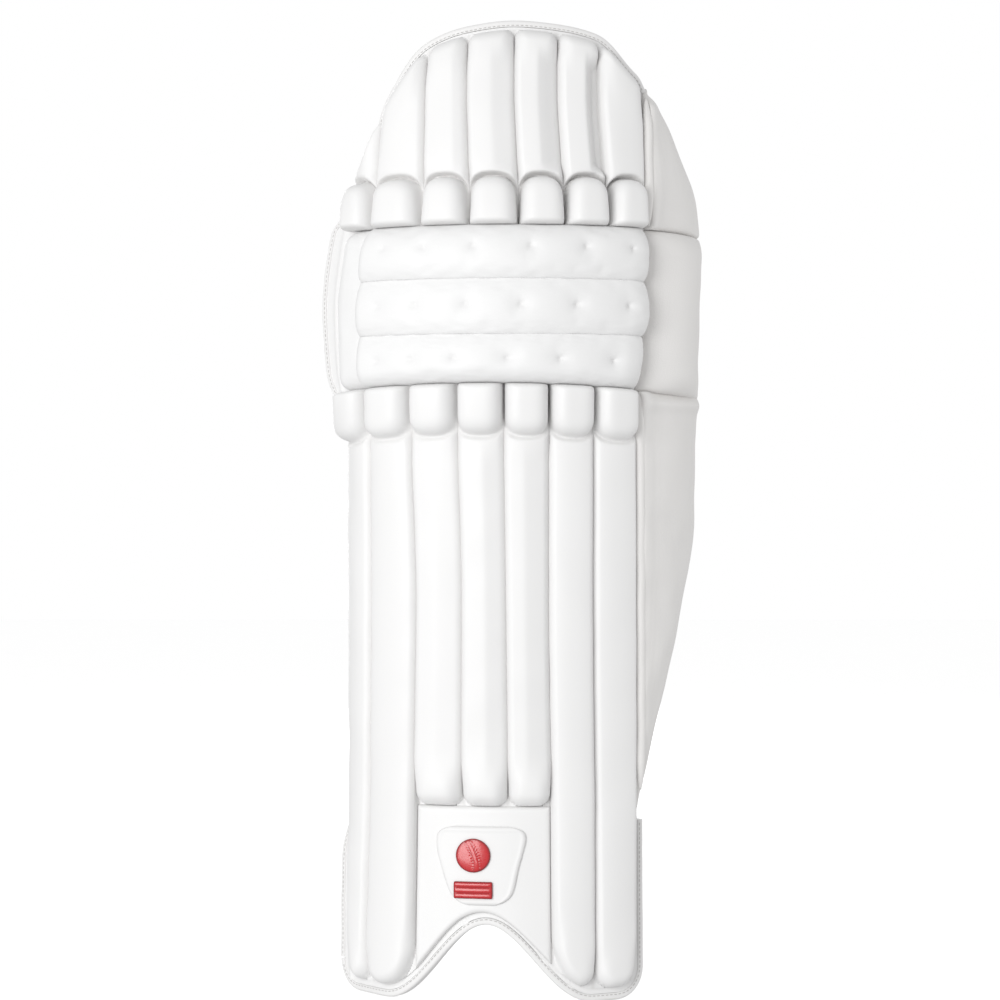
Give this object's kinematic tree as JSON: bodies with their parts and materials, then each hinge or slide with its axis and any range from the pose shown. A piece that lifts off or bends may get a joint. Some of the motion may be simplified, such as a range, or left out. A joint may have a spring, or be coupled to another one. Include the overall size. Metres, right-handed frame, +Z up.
{
  "type": "cricket batting leg guard",
  "caption": "Padded leg guard for a batter: upright rolls on a curved backing board, a three-roll knee section, a side wing and three straps behind the leg.",
  "frame": {"origin": "on the floor, under the middle of the whole guard's box as it stands on its two feet", "axes": "+Z up along the shin, -Y the way the front faces, +X towards the wing"},
  "size_m": [0.284, 0.1486, 0.711],
  "materials": {
    "white_leather": "smooth white coated leather with a fine grain",
    "knee_leather": "soft white coated leather, slightly puckered",
    "wing_leather": "matt off-white coated leather",
    "lining_fabric": "matt off-white lining cloth",
    "binding_tape": "white folded edge tape with one row of stitches",
    "strap_webbing": "woven off-white webbing",
    "red_badge": "raised glossy red vinyl"
  },
  "bodies": {
    "root": {"backing_board": "lining_fabric", "shin_roll_1": "white_leather", "shin_roll_2": "white_leather", "shin_roll_3": "white_leather", "shin_roll_4": "white_leather", "shin_roll_5": "white_leather", "shin_roll_6": "white_leather", "shin_roll_7": "white_leather", "thigh_roll_1": "white_leather", "thigh_roll_2": "white_leather", "thigh_roll_3": "white_leather", "thigh_roll_4": "white_leather", "thigh_roll_5": "white_leather", "thigh_roll_6": "white_leather", "thigh_roll_7": "white_leather", "knee_roll_bottom": "knee_leather", "knee_roll_middle": "knee_leather", "knee_roll_top": "knee_leather", "knee_side_panel": "knee_leather", "instep_panel": "white_leather", "wing_lower": "wing_leather", "wing_knee": "wing_leather", "wing_upper": "wing_leather", "binding_left": "binding_tape", "binding_crown": "binding_tape", "binding_right_foot": "binding_tape", "binding_arch": "binding_tape", "binding_left_foot": "binding_tape", "badge_patch": "white_leather", "badge_ball": "red_badge", "badge_bar": "red_badge", "strap_ankle": "strap_webbing", "strap_calf": "strap_webbing", "strap_knee": "strap_webbing"}
  },
  "joints": []
}
